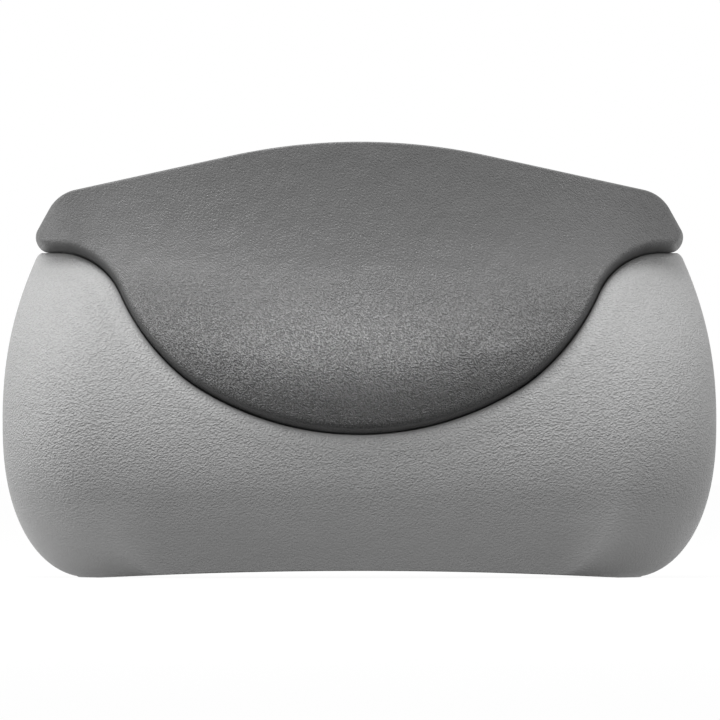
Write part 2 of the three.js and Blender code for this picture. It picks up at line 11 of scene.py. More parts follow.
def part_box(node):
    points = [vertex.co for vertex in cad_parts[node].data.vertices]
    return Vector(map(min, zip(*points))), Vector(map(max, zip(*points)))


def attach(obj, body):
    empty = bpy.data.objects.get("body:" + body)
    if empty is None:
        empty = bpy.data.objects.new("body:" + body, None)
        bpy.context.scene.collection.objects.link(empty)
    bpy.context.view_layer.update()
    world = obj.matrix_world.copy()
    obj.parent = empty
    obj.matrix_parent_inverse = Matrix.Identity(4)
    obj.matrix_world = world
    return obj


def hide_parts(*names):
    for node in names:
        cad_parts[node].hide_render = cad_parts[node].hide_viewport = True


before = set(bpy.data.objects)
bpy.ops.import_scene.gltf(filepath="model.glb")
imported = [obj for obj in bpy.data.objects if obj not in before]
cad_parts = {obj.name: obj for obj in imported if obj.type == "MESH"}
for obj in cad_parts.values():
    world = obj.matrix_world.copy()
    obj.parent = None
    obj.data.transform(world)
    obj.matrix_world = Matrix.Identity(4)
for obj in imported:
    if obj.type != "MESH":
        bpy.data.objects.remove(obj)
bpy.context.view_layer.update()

# Base cushion: the pale lower half, a horizontal roll of integral-skin foam with a flat back, rounded
# ends and a pocket down its front for the tongue of the head cushion. It leaves the mould in one
# piece, with a finely creased skin that runs almost smooth near the foot.
degree = math.pi / 180
fit_gap = 0.0003
seam_gap = 0.00002
base_depth = 0.080
roll_radius = 0.075
roll_height = 0.059
upper_slope = 27 * degree
lower_slope = 22 * degree
roll_half_width = 0.1346
foot_half_width = 0.103
foot_curve_power = 2.4
shoulder_half_width = 0.1213
shoulder_curve_power = 2.2
end_radius = 0.034
back_round = 0.006
arch_half_span = 0.096
arch_rise = 0.0026
rim_width = 0.0022
rim_drop = 0.0013
foot_round = 0.0006
tongue_thickness = 0.024
tip_half_width = 0.1223
tip_radius = 0.0055
seam_low = 0.054
seam_turns = ((0.114, 0, 32), (0.058, 32, 41), (0.087, 41, 66))
seam_shoulder_radius = 0.026
base_rows = 110
foot_lift = foot_round * 0.6
core_end_radius = end_radius / 2
end_turn_from = 0.092
end_turn_over = 0.022
cut_past = 0.001

# The flat back of the foam is flush with the rear face of the back plate.
back_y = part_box("back_plate")[1].y


def place(x, height, depth):
    """A point of the pillow, with its depth measured forwards from the flat back of the foam."""
    return (x, back_y - depth, height)


def arc(centre, radius, start, stop, steps, side=1):
    """Points on a circle in the front view, each with the outward direction of the outline there."""
    found = []
    for i in range(steps + 1):
        turn = start + (stop - start) * i / steps
        found.append((centre[0] + side * radius * math.cos(turn),
                      centre[1] + side * radius * math.sin(turn), math.cos(turn), math.sin(turn)))
    return found


def line(start, stop, steps):
    """Points on a straight stretch of the outline, with the outward direction of its first point."""
    return [(start[0] + (stop[0] - start[0]) * i / steps, start[1] + (stop[1] - start[1]) * i / steps,
             *start[2:4]) for i in range(steps + 1)]


def mirrored(points):
    return [(-x, h, -nx, nh) for x, h, nx, nh in reversed(points)]


def seam_half(steps):
    """The right half of the seam, from the lowest point of the tongue out to the shoulder."""
    down = -math.pi / 2
    points = [(0, seam_low, 0, -1)]
    for (radius, start, stop), count in zip(seam_turns, steps):
        start, stop = start * degree, stop * degree
        x, h = points[-1][:2]
        centre = (x - radius * math.sin(start), h + radius * math.cos(start))
        points += arc(centre, radius, down + start, down + stop, count)[1:]
    x, h = points[-1][:2]
    centre = (x + seam_shoulder_radius * math.sin(stop), h - seam_shoulder_radius * math.cos(stop))
    points += arc(centre, seam_shoulder_radius, down + stop, down, steps[3], -1)[1:]
    points += line(points[-1], (tip_half_width - tip_radius, points[-1][1]), steps[4])[1:]
    return points


seam_steps = (70, 16, 28, 44, 6)
seam_right = seam_half(seam_steps)
seam = mirrored(seam_right)[:-1] + seam_right
shoulder_height = seam_right[-1][1]
base_top = shoulder_height - seam_gap


def roll_depth(height):
    """How far forward the base reaches at a height: a rounded nose with a straight flank each way."""
    slope = upper_slope if height > roll_height else lower_slope
    rise = abs(height - roll_height)
    on_arc = min(rise, roll_radius * math.sin(slope))
    return (base_depth - roll_radius + math.sqrt(roll_radius ** 2 - on_arc ** 2)
            - (rise - on_arc) * math.tan(slope))


def half_width(height):
    """Half width of the base at a height: it swells from the foot and draws in to the shoulder."""
    if height < roll_height:
        fall = min((roll_height - height) / roll_height, 1)
        swell = math.sqrt(1 - fall ** foot_curve_power)
        return foot_half_width + (roll_half_width - foot_half_width) * swell
    climb = (height - roll_height) / (shoulder_height - roll_height)
    return roll_half_width - (roll_half_width - shoulder_half_width) * climb ** shoulder_curve_power


def end_drop(x, reach, radius):
    """How far a rounded end falls back from the front at a distance from the middle line."""
    past = min(max(abs(x) - (reach - radius), 0), radius)
    return radius - math.sqrt(radius ** 2 - past ** 2)


def loop_point(column, height):
    """Where one upright line of the base's skin passes a height, and the direction into the foam."""
    kind, side, share = column
    reach, depth = half_width(height), roll_depth(height)
    if kind == "back":
        return share * (reach - back_round), 0, 0, 1
    if kind == "back corner":
        out, back = math.sin(share), math.cos(share)
        return (side * (reach - back_round * (1 - out)), back_round * (1 - back), -side * out, back)
    if kind == "side":
        return side * reach, back_round + share * (depth - end_radius - back_round), -side, 0
    if kind == "corner":
        out, fore = math.sin(share), math.cos(share)
        return (side * (reach - end_radius * (1 - out)), depth - end_radius * (1 - fore),
                -side * out, -fore)
    return share * (reach - end_radius), depth, 0, -1


def column_through(x, height):
    """The upright line of the skin that meets the front at a point."""
    straight = half_width(height) - end_radius
    if abs(x) <= straight:
        return "front", 1, x / straight
    return "corner", math.copysign(1, x), math.asin(min((abs(x) - straight) / end_radius, 1))


def foot_at(column):
    """Height of the foot below a line of the skin: the underside rises in a low arch."""
    height = 0
    for _ in range(4):
        x = loop_point(column, height)[0]
        height = arch_rise * max(0, 1 - (x / arch_half_span) ** 2)
    return height


def band(faces, rows, closed=False):
    """Four-cornered faces between rows of points."""
    for low, high in zip(rows, rows[1:]):
        for i in range(len(low) if closed else len(low) - 1):
            j = (i + 1) % len(low)
            faces.append((low[i], low[j], high[j], high[i]))


def cap(faces, loop):
    """Three-cornered faces that close a flat loop."""
    for corners in tessellate_polygon([[Vector(point) for point in loop]]):
        faces.append([loop[i] for i in corners])


def stitch(faces, near, far):
    """Three-cornered faces between two lines of points that both run from left to right."""
    i, j = 1, 0
    faces.append((near[0], near[1], far[0]))
    while i < len(near) - 1 or j < len(far) - 1:
        near_next = i < len(near) - 2 and near[i + 1][0] <= far[min(j + 1, len(far) - 1)][0]
        if near_next or j == len(far) - 1:
            faces.append((near[i], near[i + 1], far[j]))
            i += 1
        else:
            faces.append((near[i], far[j + 1], far[j]))
            j += 1


def put_in_scene(name, data):
    thing = bpy.data.objects.new(name, data)
    bpy.context.scene.collection.objects.link(thing)
    return thing


def solid_piece(name, faces):
    """One closed mesh from faces whose corners meet in the same places, facing out."""
    places = {}
    joined = []
    for face in faces:
        corners = [places.setdefault(tuple(round(v, 7) for v in point), len(places)) for point in face]
        corners = [c for i, c in enumerate(corners) if c != corners[i - 1]]
        if len(set(corners)) > 2:
            joined.append(corners)
    mesh = bpy.data.meshes.new(name)
    mesh.from_pydata(list(places), [], joined)
    edit = bmesh.new()
    edit.from_mesh(mesh)
    bmesh.ops.recalc_face_normals(edit, faces=edit.faces)
    edit.to_mesh(mesh)
    edit.free()
    return put_in_scene(name, mesh)


def soften(piece, crease=35):
    """Smooth shading, with a hard edge wherever the surface turns by more than the crease angle."""
    piece.data.shade_smooth()
    piece.data.set_sharp_from_angle(angle=crease * degree)


def cut(piece, cutter):
    """Takes a closed shape out of a piece and throws the cutter away."""
    modifier = piece.modifiers.new("cut", "BOOLEAN")
    modifier.operation = "DIFFERENCE"
    modifier.solver = "EXACT"
    modifier.object = cutter
    bpy.context.view_layer.update()
    trimmed = bpy.data.meshes.new_from_object(piece.evaluated_get(bpy.context.evaluated_depsgraph_get()))
    piece.modifiers.clear()
    piece.data = trimmed
    bpy.data.objects.remove(cutter)


def at_depth(outline, depth):
    return [place(x, h, depth) for x, h in outline]


def closed_stack(name, rows):
    """A piece from outlines that lie behind each other, closed at both ends."""
    faces = []
    band(faces, rows, True)
    cap(faces, rows[0])
    cap(faces, rows[-1])
    return solid_piece(name, faces)


def slab(name, outline, from_depth, to_depth):
    """A flat shape, drawn in the front view, with a thickness."""
    return closed_stack(name, [at_depth(outline, from_depth), at_depth(outline, to_depth)])


def rounded_outline(corners, radius, steps=8):
    """A closed shape with softened corners, as the plate and the carriers have."""
    outline = []
    for i, corner in enumerate(corners):
        ends = []
        for other in (corners[i - 1], corners[(i + 1) % len(corners)]):
            share = radius / math.dist(corner, other)
            ends.append([a + (b - a) * share for a, b in zip(corner, other)])
        for k in range(steps + 1):
            t = k / steps
            outline.append(tuple((1 - t) ** 2 * a + 2 * t * (1 - t) * c + t ** 2 * b
                                 for a, c, b in zip(ends[0], corner, ends[1])))
    return outline


# The plate's outline, which both cushions leave room for.
plate_thickness = 0.003
plate_corner = 0.016
plate_bottom, plate_top = 0.014, 0.149
plate_half_low, plate_half_high = 0.108, 0.092
carrier_corner = 0.006
carrier_pocket = 0.0039


def plate_outline(grow, steps=8):
    low, high = plate_half_low + grow, plate_half_high + grow
    bottom, top = plate_bottom - grow, plate_top + grow
    return rounded_outline([(-low, bottom), (low, bottom), (high, top), (-high, top)], plate_corner, steps)


def plate_room():
    """A cutter for the recess that the back plate lies in."""
    return slab("plate_room", plate_outline(fit_gap), -cut_past, plate_thickness + fit_gap)


def carrier_room(half, bottom, top):
    """A cutter for the pocket round a carrier, without its bosses, which the foam grips."""
    half, bottom, top = half + fit_gap, bottom - fit_gap, top + fit_gap
    outline = rounded_outline([(-half, bottom), (half, bottom), (half, top), (-half, top)], carrier_corner)
    return slab("carrier_room", outline, -cut_past, plate_thickness + carrier_pocket)


def mark_seam(piece, widths):
    """Keeps each point's distance from the seam, in widths of the smooth border there."""
    tree = KDTree(len(seam) * 4)
    for i, (here, there) in enumerate(zip(seam, seam[1:])):
        for k in range(4):
            tree.insert((here[0] + (there[0] - here[0]) * k / 4, 0,
                         here[1] + (there[1] - here[1]) * k / 4), i * 4 + k)
    tree.balance()
    shares = []
    for vertex in piece.data.vertices:
        _, nearest, distance = tree.find((vertex.co.x, 0, vertex.co.z))
        shares.append(distance / widths[nearest // 4])
    piece.data.attributes.new("from_seam", "FLOAT", "POINT").data.foreach_set("value", shares)


def base_mesh():
    """The skin of the base: upright lines all round it, a soft rim, and the pocket's wall and floor."""
    quarter = math.pi / 2
    back_lines, corner_lines, side_lines, tip_lines = 24, 5, 9, 10
    wall_rows, floor_rows = 3, 14
    columns = [("back", 1, 1 - 2 * i / back_lines) for i in range(1, back_lines)]
    columns += [("back corner", -1, quarter * i / corner_lines) for i in range(corner_lines + 1)]
    columns += [("side", -1, i / side_lines) for i in range(1, side_lines + 1)]
    tip = column_through(seam[0][0], base_top)[2]
    tip_side = [("corner", -1, quarter + (tip - quarter) * i / tip_lines) for i in range(1, tip_lines)]
    columns += tip_side
    before = len(columns)
    reach = seam_gap + rim_width
    tops = [(x + nx * reach, h + nh * reach) for x, h, nx, nh in seam]
    columns += [column_through(x, h) for x, h in tops]
    after = len(columns)
    columns += [("corner", 1, share) for _, _, share in reversed(tip_side)]
    columns += [("side", 1, i / side_lines) for i in range(side_lines, 0, -1)]
    columns += [("back corner", 1, quarter * i / corner_lines) for i in range(corner_lines, -1, -1)]
    feet = [foot_at(column) + foot_lift for column in columns]
    heights = [base_top - rim_width] * len(columns)
    heights[before:after] = [h for _, h in tops]
    rows = []
    # The underside's edge is barely rounded, so the first row lies a little inside it.
    first = []
    for column, foot in zip(columns, feet):
        x, depth, into_x, into_depth = loop_point(column, foot)
        first.append(place(x + into_x * foot_round, foot - foot_lift, depth + into_depth * foot_round))
    rows.append(first)
    for i in range(base_rows + 1):
        row = []
        for column, foot, height in zip(columns, feet, heights):
            h = foot + (height - foot) * (i / base_rows) ** 2
            x, depth, _, _ = loop_point(column, h)
            row.append(place(x, h, depth))
        rows.append(row)
    rim_steps = 10
    for step in range(1, rim_steps + 1):
        turn = quarter * step / rim_steps
        inward = rim_drop * (1 - math.cos(turn))
        below = rim_width * (1 - math.sin(turn))
        row, edge = [], []
        for i, column in enumerate(columns):
            if before <= i < after:
                x, h, nx, nh = seam[i - before]
                x, h = x + nx * (seam_gap + below), h + nh * (seam_gap + below)
                side = column_through(x, h)
                _, depth, into_x, into_depth = loop_point(side, h)
                share = min(max((abs(x) - end_turn_from) / end_turn_over, 0), 1)
                share = share * share * (3 - 2 * share)
                into = Vector((into_x * share, 0, into_depth * share - (1 - share)))
                into -= into.dot(Vector((nx, nh, 0))) * Vector((nx, nh, 0))
                into = into.normalized() * inward
                point = (x + into.x, h + into.y, depth + into.z)
            else:
                h = base_top - below
                x, depth, into_x, into_depth = loop_point(column, h)
                point = (x + into_x * inward, h, depth + into_depth * inward)
            edge.append(point)
            row.append(place(*point))
        rows.append(row)
    faces = []
    band(faces, rows, True)
    # The arched underside, stitched between its front and back edges.
    left, right = before - len(tip_side) - 1, after + len(tip_side)
    stitch(faces, first[left:right + 1], first[left - 1::-1] + first[:right:-1])
    # The pocket: its wall runs straight back to the core, whose face is the pocket's floor.
    mouth = edge[before:after]

    def core_depth(x, h):
        return (roll_depth(h) - tongue_thickness - fit_gap
                - end_drop(x, half_width(h) + tip_radius, core_end_radius))

    wall = [[place(x, h, depth + (core_depth(x, h) - depth) * i / wall_rows) for x, h, depth in mouth]
            for i in range(wall_rows + 1)]
    floor = []
    for i in range(floor_rows + 1):
        climbed = [(x, h + (base_top - h) * i / floor_rows) for x, h, _ in mouth]
        floor.append([place(x, h, core_depth(x, h)) for x, h in climbed])
    band(faces, wall)
    band(faces, floor)
    rim = [place(*point) for point in edge]
    top = rim[:before] + [row[0] for row in wall] + floor[-1][1:] + [row[-1] for row in wall[-2::-1]]
    cap(faces, top + rim[after:])
    return solid_piece("base_cushion_skin", faces)


base = base_mesh()
cut(base, plate_room())
cut(base, carrier_room(half=0.096, bottom=0.024, top=0.110))
mark_seam(base, [rim_width] * len(seam))
soften(base)


def math_node(tree, operation, first, second=None, third=None, clamp=False):
    """One sum on values that change over the surface."""
    node = tree.nodes.new("ShaderNodeMath")
    node.operation = operation
    node.use_clamp = clamp
    for i, value in enumerate((first, second, third)):
        if value is None:
            continue
        if isinstance(value, (int, float)):
            node.inputs[i].default_value = value
        else:
            tree.links.new(value, node.inputs[i])
    return node.outputs[0]


def ramp_node(tree, value, from_low, from_high, to_low=0.0, to_high=1.0, smooth=True):
    """Maps a value from one range to another, held at both ends."""
    node = tree.nodes.new("ShaderNodeMapRange")
    node.interpolation_type = "SMOOTHSTEP" if smooth else "LINEAR"
    tree.links.new(value, node.inputs["Value"])
    for name, number in (("From Min", from_low), ("From Max", from_high),
                         ("To Min", to_low), ("To Max", to_high)):
        node.inputs[name].default_value = number
    return node.outputs["Result"]


def noise_node(tree, place_from, scale, detail=2.0, roughness=0.5, output="Fac"):
    node = tree.nodes.new("ShaderNodeTexNoise")
    tree.links.new(place_from, node.inputs["Vector"])
    for name, number in (("Scale", scale), ("Detail", detail), ("Roughness", roughness)):
        node.inputs[name].default_value = number
    return node.outputs[output]


def vector_node(tree, operation, first, second):
    """One step on places or colours. For SCALE the second value is a single number."""
    node = tree.nodes.new("ShaderNodeVectorMath")
    node.operation = operation
    tree.links.new(first, node.inputs[0])
    socket = node.inputs["Scale" if operation == "SCALE" else 1]
    if isinstance(second, tuple):
        socket.default_value = second
    else:
        tree.links.new(second, socket)
    return node.outputs["Vector"]


def surface_place(tree):
    """The place on the object, and its three measures: across, back and up."""
    where = tree.nodes.new("ShaderNodeTexCoord").outputs["Object"]
    split = tree.nodes.new("ShaderNodeSeparateXYZ")
    tree.links.new(where, split.inputs[0])
    return where, *split.outputs


def add_bump(tree, shader, height, relief):
    """Raises and sinks the surface by a height that changes over it."""
    bump = tree.nodes.new("ShaderNodeBump")
    bump.inputs["Strength"].default_value = 1
    bump.inputs["Distance"].default_value = relief
    tree.links.new(height, bump.inputs["Height"])
    tree.links.new(bump.outputs["Normal"], shader.inputs["Normal"])


def new_group(name, inputs, outputs):
    """An empty node group with named number inputs and outputs, and its two end nodes."""
    tree = bpy.data.node_groups.new(name, "ShaderNodeTree")
    for socket, number in inputs.items():
        made = tree.interface.new_socket(socket, in_out="INPUT", socket_type="NodeSocketFloat")
        made.default_value = number
    for socket in outputs:
        tree.interface.new_socket(socket, in_out="OUTPUT", socket_type="NodeSocketFloat")
    return tree, tree.nodes.new("NodeGroupInput").outputs, tree.nodes.new("NodeGroupOutput").inputs


def skin_grain():
    """The grain of a moulded skin: rows of small flattened pebbles with sharp creases between them."""
    tree, given, out = new_group(
        "skin grain", {"Size": 0.0010, "Stretch": 2.5, "Waviness": 1.0, "Lean": 0.0}, ("Height",))
    _, across, back, up = surface_place(tree)
    # The rows lean the same way on both sides of the middle.
    leaning = math_node(tree, "ADD", up, math_node(tree, "MULTIPLY", across, given["Lean"]))
    per_metre = math_node(tree, "DIVIDE", 1.0, given["Size"])
    scaled = tree.nodes.new("ShaderNodeCombineXYZ")
    across, back, up = [math_node(tree, "MULTIPLY", way, per_metre) for way in (across, back, leaning)]
    for i, way in enumerate((math_node(tree, "DIVIDE", across, given["Stretch"]), back, up)):
        tree.links.new(way, scaled.inputs[i])
    pebbles = scaled.outputs["Vector"]
    # Slow waves bend the rows, so that they fork and wander.
    drift = noise_node(tree, pebbles, 0.45, 1.0, output="Color")
    centred = vector_node(tree, "SUBTRACT", drift, (0.5, 0.5, 0.5))
    bent = vector_node(tree, "ADD", pebbles, vector_node(tree, "SCALE", centred, given["Waviness"]))
    pebble = tree.nodes.new("ShaderNodeTexVoronoi")
    pebble.feature = "SMOOTH_F1"
    pebble.inputs["Smoothness"].default_value = 1
    pebble.inputs["Scale"].default_value = 0.8
    tree.links.new(bent, pebble.inputs["Vector"])
    dome = ramp_node(tree, pebble.outputs["Distance"], 0.15, 0.75, 1.0, 0.0)
    wrinkle = noise_node(tree, bent, 0.9, 1.5)
    swell = ramp_node(tree, wrinkle, 0.3, 0.7, smooth=False)
    height = math_node(tree, "MULTIPLY_ADD", dome, 0.55, math_node(tree, "MULTIPLY", swell, 0.45))
    tree.links.new(height, out["Height"])
    return tree


grain_group = skin_grain()


def colour_mix(tree, share, first, second):
    """A colour between two, by a share that changes over the surface."""
    node = tree.nodes.new("ShaderNodeMix")
    node.data_type = "RGBA"
    tree.links.new(share, node.inputs["Factor"])
    for socket, value in ((node.inputs[6], first), (node.inputs[7], second)):
        if isinstance(value, tuple):
            socket.default_value = (*value, 1)
        else:
            tree.links.new(value, socket)
    return node.outputs[2]


def grey(level):
    """A neutral colour, from its level in 255 as it should look, in linear light."""
    share = level / 255
    linear = share / 12.92 if share <= 0.04045 else ((share + 0.055) / 1.055) ** 2.4
    return (linear, linear, linear)


def new_material(name, **even):
    """A material with one shader, its even values set on the shader itself."""
    material = bpy.data.materials.new(name)
    material.use_nodes = True
    shader = material.node_tree.nodes["Principled BSDF"]
    for socket, value in even.items():
        shader.inputs[socket.replace("_", " ")].default_value = value
    return material, material.node_tree, shader


def placed_group(tree, group, **values):
    node = tree.nodes.new("ShaderNodeGroup")
    node.node_tree = group
    for name, value in values.items():
        node.inputs[name.replace("_", " ")].default_value = value
    return node.outputs


# Where the painted shade of the ends and the painted shade and light of the foot begin and end, in metres
# from the middle or the floor.
painted_end_shade_span = (0.088, 0.122)
painted_foot_tone_height = (0.004, 0.045)
painted_foot_tone_span = (0.072, 0.100)


def foam_skin(name, level, rim_painted_level, size, stretch, waviness, lean, relief, contrast, lip_painted_highlight,
              ends_painted_shade, foot_painted_shade_and_light, deep, smooth_rim, rim_painted_span, rim_painted_fade, crease_painted_shade, gloss):
    """The skin of a foam cushion. deep gives how the grain deepens and fades with height. The lip tone gives
    a patch's middle and spread, across and then up, and its amount; the tones of the ends and the foot are
    amounts. These three tones are painted light and shade, fitted to the photograph's light and dark, which
    shows no wear or dirt: a painted highlight on the lip, painted shade at the ends, and at the foot painted
    shade in the middle with painted light at the corners. The rim tone along the seam is a painted highlight
    on the pale skin and painted shade on the dark skin's border, and the crease is painted shade."""
    material, tree, shader = new_material(name, Specular_IOR_Level=0.5, IOR=1.45)
    grain = placed_group(tree, grain_group, Size=size, Stretch=stretch, Waviness=waviness,
                         Lean=lean)["Height"]
    where, across, _, up = surface_place(tree)
    depth = math_node(tree, "MULTIPLY", ramp_node(tree, up, *deep[0]), ramp_node(tree, up, *deep[1]))
    away = tree.nodes.new("ShaderNodeAttribute")
    away.attribute_name = "from_seam"
    from_seam = away.outputs["Fac"]
    grained = ramp_node(tree, from_seam, *smooth_rim)
    depth = math_node(tree, "MULTIPLY", depth, math_node(tree, "MAXIMUM", grained, 0.06))
    # Patches where the skin is grained a little more or less.
    patches = noise_node(tree, where, 28, 3.0)
    depth = math_node(tree, "MULTIPLY", depth, ramp_node(tree, patches, 0.3, 0.7, 0.85, 1.12))
    slack = noise_node(tree, where, 90)
    height = math_node(tree, "MULTIPLY_ADD", slack, 0.5, math_node(tree, "MULTIPLY", grain, depth))
    add_bump(tree, shader, height, relief)
    # Colour: darker in the creases and paler on the pebbles, a little cloudy, with a few pale specks.
    pebbled = ramp_node(tree, grain, 0.30, 0.70, smooth=False)
    toned = colour_mix(tree, pebbled, grey(level * (1 - contrast)), grey(level * (1 + contrast)))
    toned = colour_mix(tree, math_node(tree, "MULTIPLY", depth, 1.0, clamp=True), grey(level), toned)
    toned = colour_mix(tree, ramp_node(tree, patches, 0.3, 0.7, 0.0, 0.25), toned, grey(level * 1.03))
    specks = ramp_node(tree, noise_node(tree, where, 420, 1.0), 0.76, 0.82)
    strewn = ramp_node(tree, noise_node(tree, where, 60, 1.0), 0.55, 0.7)
    specks = math_node(tree, "MULTIPLY", math_node(tree, "MULTIPLY", specks, strewn), 0.6)
    toned = colour_mix(tree, specks, toned, grey(level * 1.25))
    # The tones of the lip, the ends and the foot, fitted as painted light and shade: a painted highlight on
    # the lip, painted shade at the ends, and painted shade in the middle of the foot with painted light at
    # its corners.
    *patch, lip_highlight_amount = lip_painted_highlight
    far = [math_node(tree, "MULTIPLY_ADD", way, 1 / spread, -middle / spread)
           for way, (middle, spread) in zip((across, up), patch)]
    from_middle = math_node(tree, "SQRT", math_node(tree, "MULTIPLY_ADD", far[0], far[0], math_node(
        tree, "MULTIPLY", far[1], far[1])))
    lip = ramp_node(tree, from_middle, 0.1, 1.7, 1.0, 0.0)
    sideways = math_node(tree, "ABSOLUTE", across)
    end = ramp_node(tree, sideways, *painted_end_shade_span)
    foot = math_node(tree, "MULTIPLY", ramp_node(tree, up, *painted_foot_tone_height, 1.0, 0.0),
                     ramp_node(tree, sideways, *painted_foot_tone_span, -1.0, 1.3))
    painted_light_and_shade = math_node(tree, "MULTIPLY_ADD", foot, foot_painted_shade_and_light, 1.0)
    painted_light_and_shade = math_node(tree, "MULTIPLY_ADD", end, -ends_painted_shade, painted_light_and_shade)
    painted_light_and_shade = math_node(tree, "MULTIPLY_ADD", lip, lip_highlight_amount, painted_light_and_shade)
    toned = vector_node(tree, "SCALE", toned, math_node(tree, "POWER", painted_light_and_shade, 2.2))
    # Along the seam the skin has another tone, a painted highlight on the pale skin's rim and painted shade
    # on the dark skin's rolled border, and the crease itself is painted shade, darker still.
    plain = math_node(tree, "MAXIMUM", ramp_node(tree, from_seam, *rim_painted_span), ramp_node(tree, up, *rim_painted_fade))
    toned = colour_mix(tree, plain, grey(rim_painted_level), toned)
    # Painted shade in the crease along the seam.
    crease = ramp_node(tree, from_seam, *crease_painted_shade)
    tree.links.new(colour_mix(tree, crease, grey(rim_painted_level * 0.35), toned), shader.inputs["Base Color"])
    # The patch of the lip's painted highlight also shines slightly more than the rest, and the ends less.
    dull = ramp_node(tree, patches, 0.35, 0.65, gloss + 0.04, gloss - 0.04)
    dull = math_node(tree, "MULTIPLY_ADD", grain, -0.08, dull)
    dull = math_node(tree, "MULTIPLY_ADD", lip, -lip_highlight_amount * 0.25, dull)
    dull = math_node(tree, "MULTIPLY_ADD", end, ends_painted_shade * 1.5, dull)
    tree.links.new(dull, shader.inputs["Roughness"])
    return material


# The pale skin: a painted highlight on its rim along the seam, painted shade in the crease, and at its foot
# painted shade in the middle with painted light at the corners.
pale_skin = foam_skin("pale foam skin", 162, 188, size=0.00054, stretch=1.3, waviness=0.8, lean=-0.1,
                      relief=0.00045, contrast=0.04, lip_painted_highlight=((0, 0.080), (0.045, 0.020), 0.0),
                      ends_painted_shade=0.0, foot_painted_shade_and_light=0.07,
                      deep=((0.012, 0.056, 0.16, 1.0), (0.078, 0.115, 1.0, 0.6)),
                      smooth_rim=(0.1, 0.8), rim_painted_span=(0.5, 4.0), rim_painted_fade=(0.055, 0.085, 0.0, 0.8),
                      crease_painted_shade=(0.0, 0.18), gloss=0.56)
base.data.materials.append(pale_skin)
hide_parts("base_cushion")
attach(base, "root")

# Head cushion: the dark upper half, a wide hat shape of the same foam with a tongue down its front. Its
# face is a shallow cradle for the head above and a soft lip for the neck across the tongue, and a
# smooth rolled border follows the seam.
head_top = 0.164
crown_radius = 0.227
top_slope = 12.2 * degree
head_corner_radius = 0.015
side_slant = 29.5 * degree
border_width = 0.0052
border_sink = 0.0026
side_edge = 0.0016
top_edge_radius = 0.0007
border_steps = 14
head_back_round = 0.0025
cradle_setback = 0.0040
cradle_height = 0.124
cradle_radius = 0.207
lip_rise = 0.017
lip_fall = 0.012
lip_height = 0.079
lip_spread = 0.022
lip_power_above = 1.4
lip_power_below = 2.4
lip_reach = 0.105
lip_climb = 0.008
lip_climb_reach = 0.062
bow_radius = 0.310
head_end_radius = 0.015


def face_depth(x, height):
    """Depth of the head cushion's face: a cradle above and a lip below, all bowed from side to side."""
    cradle = base_depth - cradle_setback + max(height - cradle_height, 0) ** 2 / (2 * cradle_radius)
    lip_middle = lip_height + lip_climb * (x / lip_climb_reach) ** 2
    from_lip = abs(height - lip_middle) / lip_spread
    if height > lip_middle:
        lip = lip_rise * math.exp(-from_lip ** lip_power_above)
    else:
        lip = lip_rise - lip_fall * (1 - math.exp(-from_lip ** lip_power_below))
    return (cradle + lip * math.exp(-(x / lip_reach) ** 4) - x ** 2 / (2 * bow_radius)
            - end_drop(x, tip_half_width + side_edge, head_end_radius))


def border_at(point):
    """Width and drop of the border: deep where the outline faces down, a small edge where it faces up."""
    x, h, _, up = point
    deep, wide = [min(max((0.5 - up) / span, 0), 1) for span in (0.9, 1.5)]
    edge = side_edge + (top_edge_radius - side_edge) * min(max((up - 0.5) / 0.4, 0), 1)
    sunk = face_depth(x, h) - roll_depth(h) + end_drop(x, half_width(h), end_radius) + border_sink
    return edge + (border_width - edge) * wide ** 1.5, edge + (sunk - edge) * deep


def tip_and_top():
    """The right tip and slanted side, upwards, and the right half of the top, inwards."""
    tip_centre = (tip_half_width - tip_radius, shoulder_height + tip_radius)
    tip = arc(tip_centre, tip_radius, -math.pi / 2, side_slant, 44)
    side_x, side_h = math.cos(side_slant), math.sin(side_slant)
    top_x, top_h = math.sin(top_slope), math.cos(top_slope)
    arc_end = (crown_radius * top_x, head_top - crown_radius * (1 - top_h))
    side_reach = side_x * tip[-1][0] + side_h * tip[-1][1] - head_corner_radius
    top_reach = top_x * arc_end[0] + top_h * arc_end[1] - head_corner_radius
    spread = side_x * top_h - side_h * top_x
    corner_centre = ((side_reach * top_h - top_reach * side_h) / spread,
                     (top_reach * side_x - side_reach * top_x) / spread)
    corner = arc(corner_centre, head_corner_radius, side_slant, math.pi / 2 - top_slope, 34)
    crown = arc((0, head_top - crown_radius), crown_radius, math.pi / 2 - top_slope, math.pi / 2, 50)
    side = tip + line(tip[-1], corner[0][:2], 26)[1:]
    return side, corner + line(corner[-1], crown[0][:2], 80)[1:] + crown[1:]


def spread_evenly(grid, rounds=400, pull=0.8):
    """Moves the inner points of a face's grid, its edge held, for a set number of rounds, to unfold its
    cells.
    """
    for _ in range(rounds):
        across = (grid[1:-1, 2:] - grid[1:-1, :-2]) / 2
        up = (grid[2:, 1:-1] - grid[:-2, 1:-1]) / 2
        twist = (grid[2:, 2:] - grid[2:, :-2] - grid[:-2, 2:] + grid[:-2, :-2]) / 4
        wide = (up * up).sum(-1, keepdims=True)
        high = (across * across).sum(-1, keepdims=True)
        skew = (across * up).sum(-1, keepdims=True)
        middle = wide * (grid[1:-1, 2:] + grid[1:-1, :-2]) + high * (grid[2:, 1:-1] + grid[:-2, 1:-1])
        found = (middle - 2 * skew * twist) / np.maximum(2 * (wide + high), 1e-18)
        grid[1:-1, 1:-1] += pull * (found - grid[1:-1, 1:-1])
    return grid


